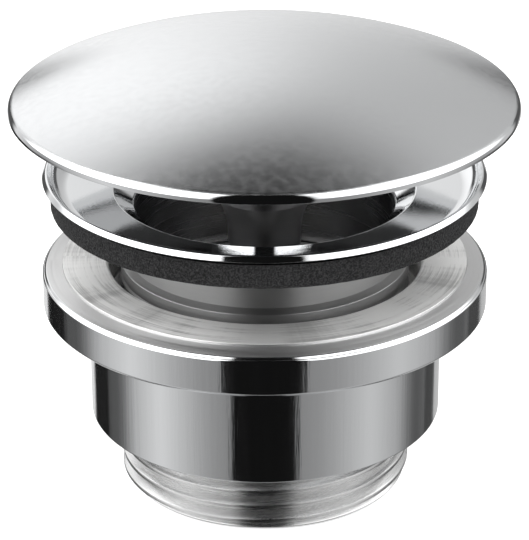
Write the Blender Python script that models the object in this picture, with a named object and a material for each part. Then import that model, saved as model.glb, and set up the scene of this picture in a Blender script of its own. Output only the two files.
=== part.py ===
"""Pop up basin waste with a mushroom cap, modelled in its open position.

Metres, +Z up. The origin is the centre of the tail's lower end, so the waste stands on its tail.
Every turned piece is a profile of (radius, height) points spun round the Z axis.
"""

import math

import bmesh
import bpy
from mathutils import Matrix, Vector

MM = 0.001

# Clearances
SEAT_GAP = 0.3 * MM            # between pieces that rest on each other
THREAD_GAP = 0.35 * MM         # radial, between mating threads drawn as plain cylinders
BUSH_GAP = 0.35 * MM           # radial, round the sliding spindle

# Lower body: threaded tail, body cylinder and clamping ring
TAIL_THREAD_RADIUS = 20.95 * MM
TAIL_WALL = 3.35 * MM
TAIL_LENGTH = 10.15 * MM
TAIL_CHAMFER = 0.9 * MM
THREAD_DEPTH = 1.45 * MM
RELIEF_HEIGHT = 1.5 * MM
BODY_WALL = 4.35 * MM          # round the socket that takes the barrel
BODY_HEIGHT = 16.6 * MM
BODY_FLOOR = 2.3 * MM          # wall between the tail and the socket above it
RING_OVERHANG = 6.45 * MM      # ring past the body
RING_HEIGHT = 5.75 * MM
RING_CHAMFER = 0.45 * MM
LAND_SETBACK = 3.05 * MM       # raised face that bears on the basin, in from the ring's edge
LAND_HEIGHT = 0.85 * MM
MOUTH_RELIEF = 1.45 * MM       # radial, mouth of the socket past its thread
MOUTH_DEPTH = 5.8 * MM
EDGE_ROUND = 0.3 * MM

# Flange: rim, dish, throat and threaded barrel
CLAMP_GAP = 8.7 * MM           # land to foam, as photographed
CLAMP_TRAVEL = 8.3 * MM        # room under the barrel, so that the foam can be squeezed
BARREL_THREAD_RADIUS = 20.6 * MM
NECK_DEPTH = 1.1 * MM          # neck under the thread's crests
NECK_WALL = 1.2 * MM
NECK_REACH = 0.3 * MM          # thread start above the land
BARREL_LIP_WIDTH = 1.3 * MM    # ledge that carries the bridge
BARREL_LIP_HEIGHT = 2.0 * MM
THROAT_FLARE = 3.1 * MM        # dish's inner edge past the barrel's bore
THROAT_DROP = 2.33 * MM        # dish's inner edge above the bore's upper end
THROAT_ROUND = 1.2 * MM
DISH_FLOOR_WIDTH = 3.6 * MM
DISH_SLOPE = math.radians(8.0)
DISH_WALL = 1.7 * MM
DISH_RISE_RADIUS = 13.3 * MM   # arc that lifts the dish to its rim
DISH_RIM_SLOPE = math.radians(35.5)
KNEE_REACH = 1.2 * MM          # where the underside turns up, past the dish's floor
RIM_FACE = 0.5 * MM            # straight outer face under the rolled edge
RIM_ROUND = 0.3 * MM

# Foam ring
FOAM_SETBACK = 1.05 * MM       # in from the rim's edge
FOAM_DEPTH = 4.3 * MM          # foam's lower edge under the rim's
FOAM_INNER_THICKNESS = 2.2 * MM  # squeezed by the sloping underside

# Bridge in the barrel
BRIDGE_RING_WALL = 1.7 * MM
BRIDGE_RING_HEIGHT = 4.4 * MM
BRIDGE_ARMS = 3
HUB_DROP = 2.2 * MM            # hub's top below the ring's top
ARM_DROP = 0.6 * MM            # arms' top below the hub's top
ARM_WIDTH = 3.0 * MM
ARM_HEIGHT = 4.0 * MM
HUB_WALL = 2.5 * MM
HUB_HEIGHT = 9.0 * MM
HUB_RECESS = 2.7 * MM

# Cartridge
HOUSING_WALL = 1.1 * MM
COLLAR_OVERHANG = 1.4 * MM
COLLAR_HEIGHT = 2.1 * MM
WASHER_THICKNESS = 0.7 * MM
HOUSING_TOP_WALL = 2.7 * MM
END_CAP_THICKNESS = 1.5 * MM
TAIL_SETBACK = 0.6 * MM        # cartridge end above the tail's end
NUT_ACROSS_FLATS = 19.0 * MM
NUT_HEIGHT = 3.2 * MM
O_RING_WIRE = 1.0 * MM
O_RING_GROOVE = 1.6 * MM
O_RING_GAP = 0.05 * MM

# Cam sleeve and follower pins
PLUG_STROKE = 8.5 * MM
LATCH_DROP = 0.8 * MM          # the plug springs back this far into its latch
SLEEVE_RADIUS = 6.0 * MM
SLEEVE_BORE_RADIUS = 4.3 * MM
SLEEVE_WEB = 2.0 * MM
TRACK_DEPTH = 1.0 * MM
TRACK_MARGIN = 0.9 * MM
TRACK_CLIMB = math.radians(76.0)   # turn of the sleeve over the full stroke
PIN_RADIUS = 0.7 * MM
PIN_TIP_GAP = 0.3 * MM

# Spindle, clip, thrust washer and spring
SPINDLE_THREAD_RADIUS = 3.0 * MM
SPINDLE_RADIUS = 3.1 * MM
SPINDLE_NECK_RADIUS = 2.3 * MM
CLIP_THICKNESS = 0.8 * MM
CLIP_REACH = 0.7 * MM
CLIP_GROOVE = 0.5 * MM
SPINDLE_TAIL = 0.9 * MM
THRUST_THICKNESS = 0.6 * MM
SPRING_WIRE_RADIUS = 0.4 * MM
SPRING_RADIUS = 3.75 * MM
SPRING_TURNS = 7.5

# Plug: cap, trumpet stem and seal
CAP_OVERHANG = 4.4 * MM        # cap's edge past the flange's rim
CAP_LIFT = 9.35 * MM           # cap's lower edge above the flange's rim
CAP_EDGE_ROUND = 0.45 * MM
CAP_CROWN_ROUND = 0.9 * MM
CAP_RIM_SLOPE = math.radians(24.4)
CAP_WALL = 1.4 * MM
COLLAR_RADIUS = 7.0 * MM
COLLAR_DEPTH = 5.2 * MM
CAP_THREAD_DEPTH = 6.0 * MM
STEM_WAIST_RADIUS = 5.2 * MM
STEM_WAIST_HEIGHT = 1.95 * MM
STEM_SWELL = 1.9 * MM          # straight neck past the waist
STEM_SWELL_RADIUS = 9.6 * MM   # arc that leads from the waist to the neck
STEM_DISC_THICKNESS = 1.8 * MM
STEM_DISC_BRIM = 2.9 * MM      # flat edge of the disc round the flare
STEM_FLARE_HEIGHT = 5.6 * MM
STEM_FOOT_GAP = 0.8 * MM       # stem above the cartridge when the plug is down
SEAL_LAP = 1.7 * MM            # seal's lip past the dish's inner edge
SEAL_LIP_REACH = 3.3 * MM      # seal's lip past the stem's disc
SEAL_GRIP = 2.4 * MM           # seal's spigot inside the disc's edge
SEAL_THICKNESS = 2.2 * MM

# Facets round each kind of piece
WIDE_FACETS = 52
MIDDLE_FACETS = 36
SMALL_FACETS = 24
TRACK_FACETS = 60

# Radii that follow from the sizes above
TAIL_BORE_RADIUS = TAIL_THREAD_RADIUS - TAIL_WALL
SOCKET_RADIUS = BARREL_THREAD_RADIUS + THREAD_GAP
BODY_RADIUS = SOCKET_RADIUS + BODY_WALL
RING_RADIUS = BODY_RADIUS + RING_OVERHANG
LAND_RADIUS = RING_RADIUS - LAND_SETBACK
MOUTH_RADIUS = SOCKET_RADIUS + MOUTH_RELIEF
NECK_RADIUS = BARREL_THREAD_RADIUS - NECK_DEPTH
BARREL_BORE_RADIUS = NECK_RADIUS - NECK_WALL
BARREL_LIP_RADIUS = BARREL_BORE_RADIUS - BARREL_LIP_WIDTH
THROAT_RADIUS = BARREL_BORE_RADIUS + THROAT_FLARE
DISH_FLOOR_RADIUS = THROAT_RADIUS + DISH_FLOOR_WIDTH
DISH_RISE_CENTRE = DISH_FLOOR_RADIUS - DISH_RISE_RADIUS * math.sin(DISH_SLOPE)
DISH_OUTER_RADIUS = DISH_RISE_CENTRE + DISH_RISE_RADIUS * math.sin(DISH_RIM_SLOPE)
KNEE_RADIUS = DISH_FLOOR_RADIUS + KNEE_REACH
RIM_RADIUS = DISH_OUTER_RADIUS + RIM_ROUND * (1.0 + math.sin(DISH_RIM_SLOPE))
FOAM_RADIUS = RIM_RADIUS - FOAM_SETBACK
CAP_RADIUS = RIM_RADIUS + CAP_OVERHANG
SEAL_LIP_RADIUS = THROAT_RADIUS + SEAL_LAP
STEM_DISC_RADIUS = SEAL_LIP_RADIUS - SEAL_LIP_REACH
STEM_FLARE_RADIUS = STEM_DISC_RADIUS - STEM_DISC_BRIM
STEM_NECK_RADIUS = STEM_WAIST_RADIUS + STEM_SWELL
SEAL_SPIGOT_RADIUS = STEM_DISC_RADIUS - SEAL_GRIP
HOUSING_BORE = SLEEVE_RADIUS + SEAT_GAP
HOUSING_RADIUS = HOUSING_BORE + HOUSING_WALL
HOUSING_COLLAR = HOUSING_RADIUS + COLLAR_OVERHANG
HUB_BORE = HOUSING_RADIUS + THREAD_GAP
HUB_RADIUS = HUB_BORE + HUB_WALL
BRIDGE_RADIUS = BARREL_BORE_RADIUS - SEAT_GAP

# Heights that follow from the sizes above
BODY_BOTTOM = TAIL_LENGTH
RING_BOTTOM = BODY_BOTTOM + BODY_HEIGHT
RING_TOP = RING_BOTTOM + RING_HEIGHT
LAND_TOP = RING_TOP + LAND_HEIGHT
SOCKET_FLOOR = BODY_BOTTOM + BODY_FLOOR
FOAM_BOTTOM = LAND_TOP + CLAMP_GAP
RIM_BOTTOM = FOAM_BOTTOM + FOAM_DEPTH
RIM_NOSE = RIM_BOTTOM + RIM_FACE
RIM_TOP = RIM_NOSE + RIM_ROUND
DISH_TOP = RIM_NOSE + RIM_ROUND * math.cos(DISH_RIM_SLOPE)
DISH_FLOOR = DISH_TOP - DISH_RISE_RADIUS * (math.cos(DISH_SLOPE) - math.cos(DISH_RIM_SLOPE))
BARREL_END = SOCKET_FLOOR + CLAMP_TRAVEL + SEAT_GAP
THREAD_START = LAND_TOP + NECK_REACH
LEDGE = BARREL_END + BARREL_LIP_HEIGHT
BRIDGE_BOTTOM = LEDGE + SEAT_GAP
BRIDGE_TOP = BRIDGE_BOTTOM + BRIDGE_RING_HEIGHT
HUB_TOP = BRIDGE_TOP - HUB_DROP
HUB_BOTTOM = HUB_TOP - HUB_HEIGHT
HUB_SEAT = HUB_TOP - HUB_RECESS
WASHER_BOTTOM = HUB_SEAT + SEAT_GAP
COLLAR_BOTTOM = WASHER_BOTTOM + WASHER_THICKNESS + SEAT_GAP
HOUSING_TOP = COLLAR_BOTTOM + COLLAR_HEIGHT
HOUSING_CEILING = HOUSING_TOP - HOUSING_TOP_WALL
HOUSING_END = TAIL_SETBACK
SPRING_SEAT = HOUSING_END + END_CAP_THICKNESS
SLEEVE_TOP = HOUSING_CEILING - SEAT_GAP
TRACK_HALF_WIDTH = PIN_RADIUS + SEAT_GAP
SLEEVE_HEIGHT = PLUG_STROKE + 2.0 * (TRACK_HALF_WIDTH + TRACK_MARGIN)
SLEEVE_BOTTOM = SLEEVE_TOP - SLEEVE_HEIGHT
PIN_HEIGHT = SLEEVE_BOTTOM + TRACK_MARGIN + TRACK_HALF_WIDTH
WEB_BOTTOM = SLEEVE_TOP - SLEEVE_WEB
SHOULDER = SLEEVE_TOP + SEAT_GAP
CLIP_TOP = WEB_BOTTOM - SEAT_GAP
SPINDLE_END = CLIP_TOP - CLIP_THICKNESS - SPINDLE_TAIL
THRUST_TOP = WEB_BOTTOM - SEAT_GAP
CAP_BOTTOM = RIM_TOP + CAP_LIFT
STEM_FOOT = HOUSING_TOP + PLUG_STROKE + STEM_FOOT_GAP


def material(name, colour, metallic, roughness):
    """A Principled BSDF material for one piece."""
    made = bpy.data.materials.new(name)
    made.use_nodes = True
    shader = made.node_tree.nodes["Principled BSDF"]
    shader.inputs["Base Color"].default_value = (*colour, 1.0)
    shader.inputs["Metallic"].default_value = metallic
    shader.inputs["Roughness"].default_value = roughness
    return made


def chrome(name):
    return material(name, (0.86, 0.87, 0.88), 1.0, 0.08)


def satin_metal(name):
    return material(name, (0.72, 0.72, 0.71), 1.0, 0.3)


def brass(name):
    return material(name, (0.78, 0.62, 0.32), 1.0, 0.3)


def steel(name):
    return material(name, (0.6, 0.61, 0.62), 1.0, 0.25)


def rubber(name):
    return material(name, (0.03, 0.03, 0.032), 0.0, 0.7)


def foam(name):
    return material(name, (0.028, 0.028, 0.03), 0.0, 0.95)


def polymer(name):
    return material(name, (0.75, 0.74, 0.7), 0.0, 0.45)


def add_object(name, bm, finish):
    """Turns a finished bmesh into a smooth-shaded object of the scene."""
    bmesh.ops.recalc_face_normals(bm, faces=bm.faces)
    mesh = bpy.data.meshes.new(name)
    bm.to_mesh(mesh)
    bm.free()
    mesh.shade_smooth()
    mesh.set_sharp_from_angle(angle=math.radians(30.0))
    mesh.materials.append(finish(name + "_finish"))
    made = bpy.data.objects.new(name, mesh)
    bpy.context.scene.collection.objects.link(made)
    return made


def arc(centre_r, centre_z, radius, start, end, steps):
    """Points of (radius, height) along an arc, angles in radians from the outward direction."""
    points = []
    for step in range(steps + 1):
        angle = start + (end - start) * step / steps
        points.append((centre_r + radius * math.cos(angle), centre_z + radius * math.sin(angle)))
    return points


def rounded(corner, before, after, radius, steps=2):
    """The fillet that replaces a corner of a profile, limited by its two sides."""
    here = Vector(corner)
    back = Vector(before) - here
    ahead = Vector(after) - here
    half_angle = back.angle(ahead) / 2.0
    reach = min(radius / math.tan(half_angle), 0.45 * back.length, 0.45 * ahead.length)
    start = here + back.normalized() * reach
    end = here + ahead.normalized() * reach
    points = []
    for step in range(steps + 1):
        share = step / steps
        points.append(tuple(start.lerp(here, share).lerp(here.lerp(end, share), share)))
    return points


def profile(corners):
    """A closed outline from corners of (radius, height) or (radius, height, fillet)."""
    outline = []
    count = len(corners)
    for index, corner in enumerate(corners):
        if len(corner) == 2:
            outline.append(corner)
            continue
        before = corners[index - 1][:2]
        after = corners[(index + 1) % count][:2]
        outline.extend(rounded(corner[:2], before, after, corner[2]))
    return outline


def spin_outline(bm, outline, facets, closed=True):
    """Spins an outline of (radius, height) points through a full turn round Z."""
    verts = [bm.verts.new((r, 0.0, z)) for r, z in outline]
    pairs = list(zip(verts, verts[1:]))
    if closed:
        pairs.append((verts[-1], verts[0]))
    edges = [bm.edges.new(pair) for pair in pairs]
    bmesh.ops.spin(bm, geom=verts + edges, cent=(0, 0, 0), axis=(0, 0, 1), dvec=(0, 0, 0),
                   angle=math.tau, steps=facets, use_merge=True, use_duplicate=False)
    bmesh.ops.remove_doubles(bm, verts=bm.verts, dist=1e-6)


def turned(name, outline, facets, finish, closed=True):
    """A turned piece; an open outline starts and ends on the axis."""
    bm = bmesh.new()
    spin_outline(bm, outline, facets, closed)
    return add_object(name, bm, finish)


def cut_or_join(target, tool, operation):
    """Applies an exact Boolean of the tool to the target and removes the tool."""
    modifier = target.modifiers.new(operation.lower(), "BOOLEAN")
    modifier.operation = operation
    modifier.solver = "EXACT"
    modifier.object = tool
    depsgraph = bpy.context.evaluated_depsgraph_get()
    result = bpy.data.meshes.new_from_object(target.evaluated_get(depsgraph))
    target.modifiers.clear()
    target.data = result
    bpy.data.objects.remove(tool, do_unlink=True)


def floor_height(radius):
    """Height of the dish's floor, a shallow cone round the throat."""
    return DISH_FLOOR - (DISH_FLOOR_RADIUS - radius) * math.tan(DISH_SLOPE)


def underside_height(radius):
    """Height of the flange's underside: along the dish's floor, then straight up to the rim."""
    knee = floor_height(KNEE_RADIUS) - DISH_WALL / math.cos(DISH_SLOPE)
    if radius <= KNEE_RADIUS:
        return knee - (KNEE_RADIUS - radius) * math.tan(DISH_SLOPE)
    return knee + (RIM_BOTTOM - knee) * (radius - KNEE_RADIUS) / (RIM_RADIUS - KNEE_RADIUS)


def make_lower_body():
    relief = TAIL_THREAD_RADIUS - THREAD_DEPTH
    corners = [
        (TAIL_BORE_RADIUS, 0.0),
        (TAIL_THREAD_RADIUS - TAIL_CHAMFER, 0.0),
        (TAIL_THREAD_RADIUS, TAIL_CHAMFER),
        (TAIL_THREAD_RADIUS, BODY_BOTTOM - RELIEF_HEIGHT - THREAD_DEPTH / 2.0),
        (relief, BODY_BOTTOM - RELIEF_HEIGHT),
        (relief, BODY_BOTTOM),
        (BODY_RADIUS, BODY_BOTTOM, EDGE_ROUND),
        (BODY_RADIUS, RING_BOTTOM, EDGE_ROUND),
        (RING_RADIUS - RING_CHAMFER, RING_BOTTOM),
        (RING_RADIUS, RING_BOTTOM + RING_CHAMFER),
        (RING_RADIUS, RING_TOP - RING_CHAMFER),
        (RING_RADIUS - RING_CHAMFER, RING_TOP),
        (LAND_RADIUS + EDGE_ROUND, RING_TOP),
        (LAND_RADIUS, LAND_TOP),
        (MOUTH_RADIUS + EDGE_ROUND, LAND_TOP),
        (MOUTH_RADIUS, LAND_TOP - EDGE_ROUND),
        (MOUTH_RADIUS, LAND_TOP - MOUTH_DEPTH),
        (SOCKET_RADIUS, LAND_TOP - MOUTH_DEPTH - (MOUTH_RADIUS - SOCKET_RADIUS)),
        (SOCKET_RADIUS, SOCKET_FLOOR),
        (TAIL_BORE_RADIUS, SOCKET_FLOOR),
    ]
    return turned("lower_body", profile(corners), WIDE_FACETS, chrome)


def make_flange():
    """Dish with a shallow floor that curves up to a rolled rim, throat and threaded barrel."""
    throat_top = floor_height(THROAT_RADIUS)
    quarter = math.pi / 2.0
    rolled = arc(RIM_RADIUS - RIM_ROUND, RIM_NOSE, RIM_ROUND, 0.0, quarter + DISH_RIM_SLOPE, 3)
    centre = DISH_FLOOR + DISH_RISE_RADIUS * math.cos(DISH_SLOPE)
    rise = arc(DISH_RISE_CENTRE, centre, DISH_RISE_RADIUS,
               DISH_RIM_SLOPE - quarter, DISH_SLOPE - quarter, 5)
    corners = [
        (BARREL_LIP_RADIUS, BARREL_END),
        (BARREL_THREAD_RADIUS - TAIL_CHAMFER, BARREL_END),
        (BARREL_THREAD_RADIUS, BARREL_END + TAIL_CHAMFER),
        (BARREL_THREAD_RADIUS, THREAD_START),
        (NECK_RADIUS, THREAD_START + (BARREL_THREAD_RADIUS - NECK_RADIUS) / 2.0),
        (NECK_RADIUS, underside_height(NECK_RADIUS), THROAT_ROUND),
        (KNEE_RADIUS, underside_height(KNEE_RADIUS)),
        (RIM_RADIUS, RIM_BOTTOM),
        *rolled,
        *rise[1:],
        (THROAT_RADIUS, throat_top, EDGE_ROUND),
        (BARREL_BORE_RADIUS, throat_top - THROAT_DROP, THROAT_ROUND),
        (BARREL_BORE_RADIUS, LEDGE),
        (BARREL_LIP_RADIUS, LEDGE),
    ]
    return turned("flange", profile(corners), WIDE_FACETS, chrome)


def make_foam_seal():
    """The foam follows the flange's underside."""
    inner = NECK_RADIUS + THROAT_ROUND + SEAT_GAP
    gap = SEAT_GAP / math.cos(DISH_RIM_SLOPE)
    inner_top = underside_height(inner) - gap
    corners = [
        (inner, inner_top - FOAM_INNER_THICKNESS),
        (FOAM_RADIUS, FOAM_BOTTOM, EDGE_ROUND),
        (FOAM_RADIUS, underside_height(FOAM_RADIUS) - gap),
        (KNEE_RADIUS, underside_height(KNEE_RADIUS) - gap),
        (inner, inner_top),
    ]
    return turned("foam_seal", profile(corners), WIDE_FACETS, foam)


def make_bridge():
    """Outer ring, hub with a recess for the cartridge's collar, and arms between them."""
    ring_inner = BRIDGE_RADIUS - BRIDGE_RING_WALL
    ring_corners = [
        (ring_inner, BRIDGE_BOTTOM),
        (BRIDGE_RADIUS, BRIDGE_BOTTOM),
        (BRIDGE_RADIUS, BRIDGE_TOP),
        (ring_inner, BRIDGE_TOP),
    ]
    recess = HOUSING_COLLAR + SEAT_GAP
    hub_corners = [
        (HUB_BORE, HUB_BOTTOM),
        (HUB_RADIUS - EDGE_ROUND, HUB_BOTTOM),
        (HUB_RADIUS, HUB_BOTTOM + EDGE_ROUND),
        (HUB_RADIUS, HUB_TOP),
        (recess, HUB_TOP),
        (recess, HUB_SEAT),
        (HUB_BORE, HUB_SEAT),
    ]
    bridge = turned("bridge", ring_corners, MIDDLE_FACETS, satin_metal)
    hub = turned("bridge_hub", hub_corners, MIDDLE_FACETS, satin_metal)
    cut_or_join(bridge, hub, "UNION")
    start = (recess + HUB_RADIUS) / 2.0
    end = BARREL_LIP_RADIUS - SEAT_GAP
    for index in range(BRIDGE_ARMS):
        angle = math.tau * index / BRIDGE_ARMS + math.pi / 2.0
        bm = bmesh.new()
        size = Matrix.Diagonal((end - start, ARM_WIDTH, ARM_HEIGHT, 1.0))
        place = Matrix.Translation(((start + end) / 2.0, 0.0, HUB_TOP - ARM_DROP - ARM_HEIGHT / 2.0))
        bmesh.ops.create_cube(bm, size=1.0, matrix=Matrix.Rotation(angle, 4, "Z") @ place @ size)
        arm = add_object("bridge_arm", bm, satin_metal)
        cut_or_join(bridge, arm, "UNION")
    return bridge


def make_cartridge_housing():
    """Tube with a collar on top, an O-ring groove round the spindle and two pin holes."""
    hole = SPINDLE_RADIUS + BUSH_GAP
    groove = hole + O_RING_WIRE
    groove_bottom = HOUSING_TOP - HOUSING_TOP_WALL / 2.0 - O_RING_GROOVE / 2.0
    outer_cap_step = HOUSING_BORE + HOUSING_WALL / 2.0
    corners = [
        (outer_cap_step, HOUSING_END),
        (HOUSING_RADIUS, HOUSING_END),
        (HOUSING_RADIUS, COLLAR_BOTTOM),
        (HOUSING_COLLAR, COLLAR_BOTTOM),
        (HOUSING_COLLAR, HOUSING_TOP, EDGE_ROUND),
        (hole, HOUSING_TOP),
        (hole, groove_bottom + O_RING_GROOVE),
        (groove, groove_bottom + O_RING_GROOVE),
        (groove, groove_bottom),
        (hole, groove_bottom),
        (hole, HOUSING_CEILING),
        (HOUSING_BORE, HOUSING_CEILING),
        (HOUSING_BORE, HOUSING_END + END_CAP_THICKNESS + SEAT_GAP),
        (outer_cap_step, HOUSING_END + END_CAP_THICKNESS + SEAT_GAP),
    ]
    housing = turned("cartridge_housing", profile(corners), MIDDLE_FACETS, brass)
    bm = bmesh.new()
    place = Matrix.Translation((0.0, 0.0, PIN_HEIGHT)) @ Matrix.Rotation(math.pi / 2.0, 4, "Y")
    bmesh.ops.create_cone(bm, cap_ends=True, segments=12, radius1=PIN_RADIUS + SEAT_GAP,
                          radius2=PIN_RADIUS + SEAT_GAP, depth=2.4 * HOUSING_RADIUS, matrix=place)
    drill = add_object("pin_drill", bm, steel)
    cut_or_join(housing, drill, "DIFFERENCE")
    return housing


def make_follower_pins():
    """Two pins across the axis; their tips run in the sleeve's track."""
    inner_end = SLEEVE_RADIUS - TRACK_DEPTH + PIN_TIP_GAP
    length = HOUSING_RADIUS - inner_end
    for name, side in (("follower_pin_left", -1.0), ("follower_pin_right", 1.0)):
        bm = bmesh.new()
        place = Matrix.Translation((side * (inner_end + length / 2.0), 0.0, PIN_HEIGHT))
        place = place @ Matrix.Rotation(math.pi / 2.0, 4, "Y")
        bmesh.ops.create_cone(bm, cap_ends=True, segments=12, radius1=PIN_RADIUS,
                              radius2=PIN_RADIUS, depth=length, matrix=place)
        add_object(name, bm, steel)


def make_cartridge_end_cap():
    edge = HOUSING_BORE + HOUSING_WALL / 2.0 - SEAT_GAP
    drain = SPRING_RADIUS - 2.0 * SPRING_WIRE_RADIUS
    corners = [
        (drain, HOUSING_END),
        (edge, HOUSING_END),
        (edge, SPRING_SEAT),
        (drain, SPRING_SEAT),
    ]
    return turned("cartridge_end_cap", corners, MIDDLE_FACETS, brass)


def make_cartridge_washer():
    corners = [
        (HUB_BORE, WASHER_BOTTOM),
        (HOUSING_COLLAR, WASHER_BOTTOM),
        (HOUSING_COLLAR, WASHER_BOTTOM + WASHER_THICKNESS),
        (HUB_BORE, WASHER_BOTTOM + WASHER_THICKNESS),
    ]
    return turned("cartridge_washer", corners, SMALL_FACETS, rubber)


def make_cartridge_nut():
    """Hexagon nut under the hub, with both corners of its faces chamfered by a turned blank."""
    top = HUB_BOTTOM - SEAT_GAP
    bottom = top - NUT_HEIGHT
    corner_radius = NUT_ACROSS_FLATS / 2.0 / math.cos(math.pi / 6.0)
    flat_radius = NUT_ACROSS_FLATS / 2.0
    slope = (corner_radius - flat_radius) * math.tan(math.radians(30.0))
    corners = [
        (HUB_BORE, bottom),
        (flat_radius, bottom),
        (corner_radius, bottom + slope),
        (corner_radius, top - slope),
        (flat_radius, top),
        (HUB_BORE, top),
    ]
    nut = turned("cartridge_nut", corners, MIDDLE_FACETS, brass)
    bm = bmesh.new()
    place = Matrix.Translation((0.0, 0.0, (top + bottom) / 2.0))
    bmesh.ops.create_cone(bm, cap_ends=True, segments=6, radius1=corner_radius,
                          radius2=corner_radius, depth=2.0 * NUT_HEIGHT, matrix=place)
    hexagon = add_object("nut_hexagon", bm, brass)
    cut_or_join(nut, hexagon, "INTERSECT")
    return nut


def make_spindle_o_ring():
    hole = SPINDLE_RADIUS + BUSH_GAP
    section = O_RING_WIRE / 2.0 - O_RING_GAP
    middle = hole + section
    height = HOUSING_TOP - HOUSING_TOP_WALL / 2.0
    outline = arc(middle, height, section, 0.0, math.tau, 8)[:-1]
    return turned("spindle_o_ring", outline, SMALL_FACETS, rubber)


def track_path():
    """The zigzag centre line over half a turn, as (angle, height) from the track's low point."""
    latch_half = math.pi / 2.0 - TRACK_CLIMB
    return [
        (0.0, 0.0),
        (math.pi / 2.0 - latch_half, PLUG_STROKE),
        (math.pi / 2.0, PLUG_STROKE - LATCH_DROP),
        (math.pi / 2.0 + latch_half, PLUG_STROKE),
        (math.pi, 0.0),
    ]


def track_walls(angle):
    """Lowest and highest points that a pin of the track's width reaches at this angle."""
    mean_radius = SLEEVE_RADIUS - TRACK_DEPTH / 2.0
    path = track_path()
    low = math.inf
    high = -math.inf
    samples = 24
    for turn in (-math.pi, 0.0, math.pi):
        for (start_angle, start_z), (end_angle, end_z) in zip(path, path[1:]):
            for step in range(samples + 1):
                share = step / samples
                along = start_angle + (end_angle - start_angle) * share + turn
                height = start_z + (end_z - start_z) * share
                across = mean_radius * (along - angle)
                if abs(across) <= TRACK_HALF_WIDTH:
                    reach = math.sqrt(TRACK_HALF_WIDTH ** 2 - across ** 2)
                    low = min(low, height - reach)
                    high = max(high, height + reach)
    return low, high


def make_cam_sleeve():
    """Sleeve lofted from one section per angle, because the track rises and falls as it goes round."""
    neck = SPINDLE_NECK_RADIUS + SEAT_GAP
    floor_radius = SLEEVE_RADIUS - TRACK_DEPTH
    bm = bmesh.new()
    sections = []
    for index in range(TRACK_FACETS):
        angle = math.tau * index / TRACK_FACETS
        low, high = track_walls(angle % math.pi)
        low += PIN_HEIGHT
        high += PIN_HEIGHT
        section = [
            (SLEEVE_BORE_RADIUS, SLEEVE_BOTTOM),
            (SLEEVE_RADIUS, SLEEVE_BOTTOM),
            (SLEEVE_RADIUS, low),
            (floor_radius, low),
            (floor_radius, high),
            (SLEEVE_RADIUS, high),
            (SLEEVE_RADIUS, SLEEVE_TOP),
            (neck, SLEEVE_TOP),
            (neck, WEB_BOTTOM),
            (SLEEVE_BORE_RADIUS, WEB_BOTTOM),
        ]
        turn = Matrix.Rotation(angle, 3, "Z")
        verts = [bm.verts.new(turn @ Vector((r, 0.0, z))) for r, z in section]
        count = len(verts)
        sections.append([bm.edges.new((verts[i], verts[(i + 1) % count])) for i in range(count)])
    for index in range(TRACK_FACETS):
        both = sections[index] + sections[(index + 1) % TRACK_FACETS]
        bmesh.ops.bridge_loops(bm, edges=both)
    return add_object("cam_sleeve", bm, polymer)


def make_thrust_washer():
    inner = SPINDLE_NECK_RADIUS + CLIP_REACH + SEAT_GAP
    outer = SLEEVE_BORE_RADIUS - SEAT_GAP
    corners = [
        (inner, THRUST_TOP - THRUST_THICKNESS),
        (outer, THRUST_TOP - THRUST_THICKNESS),
        (outer, THRUST_TOP),
        (inner, THRUST_TOP),
    ]
    return turned("thrust_washer", corners, SMALL_FACETS, steel)


def make_spring():
    """Closed coil between the end cap and the thrust washer."""
    foot = SPRING_SEAT + SEAT_GAP + SPRING_WIRE_RADIUS
    head = THRUST_TOP - THRUST_THICKNESS - SEAT_GAP - SPRING_WIRE_RADIUS
    per_turn = 12
    sides = 6
    steps = round(SPRING_TURNS * per_turn)
    bm = bmesh.new()
    rings = []
    for step in range(steps + 1):
        share = step / steps
        angle = math.tau * SPRING_TURNS * share
        ease = share - math.sin(math.tau * share) / math.tau * 0.6
        centre = Vector((SPRING_RADIUS, 0.0, foot + (head - foot) * ease))
        turn = Matrix.Rotation(angle, 3, "Z")
        ring = []
        for side in range(sides):
            lean = math.tau * side / sides
            offset = Vector((math.cos(lean), 0.0, math.sin(lean))) * SPRING_WIRE_RADIUS
            ring.append(bm.verts.new(turn @ (centre + offset)))
        rings.append(ring)
    for ring, following in zip(rings, rings[1:]):
        for side in range(sides):
            after = (side + 1) % sides
            bm.faces.new((ring[side], ring[after], following[after], following[side]))
    bm.faces.new(rings[0])
    bm.faces.new(reversed(rings[-1]))
    return add_object("spring", bm, steel)


def make_spindle():
    """Solid stepped spindle with a groove for the clip, its outline open at the axis."""
    clip_low = CLIP_TOP - CLIP_THICKNESS - SEAT_GAP
    groove = SPINDLE_NECK_RADIUS - CLIP_GROOVE
    head = cap_underside(0.0) - COLLAR_DEPTH + CAP_THREAD_DEPTH - SEAT_GAP
    outline = [
        (0.0, SPINDLE_END),
        (SPINDLE_NECK_RADIUS - EDGE_ROUND, SPINDLE_END),
        (SPINDLE_NECK_RADIUS, SPINDLE_END + EDGE_ROUND),
        (SPINDLE_NECK_RADIUS, clip_low),
        (groove, clip_low),
        (groove, CLIP_TOP + SEAT_GAP / 2.0),
        (SPINDLE_NECK_RADIUS, CLIP_TOP + SEAT_GAP / 2.0),
        (SPINDLE_NECK_RADIUS, SHOULDER),
        (SPINDLE_RADIUS, SHOULDER),
        (SPINDLE_RADIUS, STEM_FOOT - SEAT_GAP),
        (SPINDLE_THREAD_RADIUS, STEM_FOOT),
        (SPINDLE_THREAD_RADIUS, head - EDGE_ROUND),
        (SPINDLE_THREAD_RADIUS - EDGE_ROUND, head),
        (0.0, head),
    ]
    return turned("spindle", outline, SMALL_FACETS, steel, closed=False)


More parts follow.
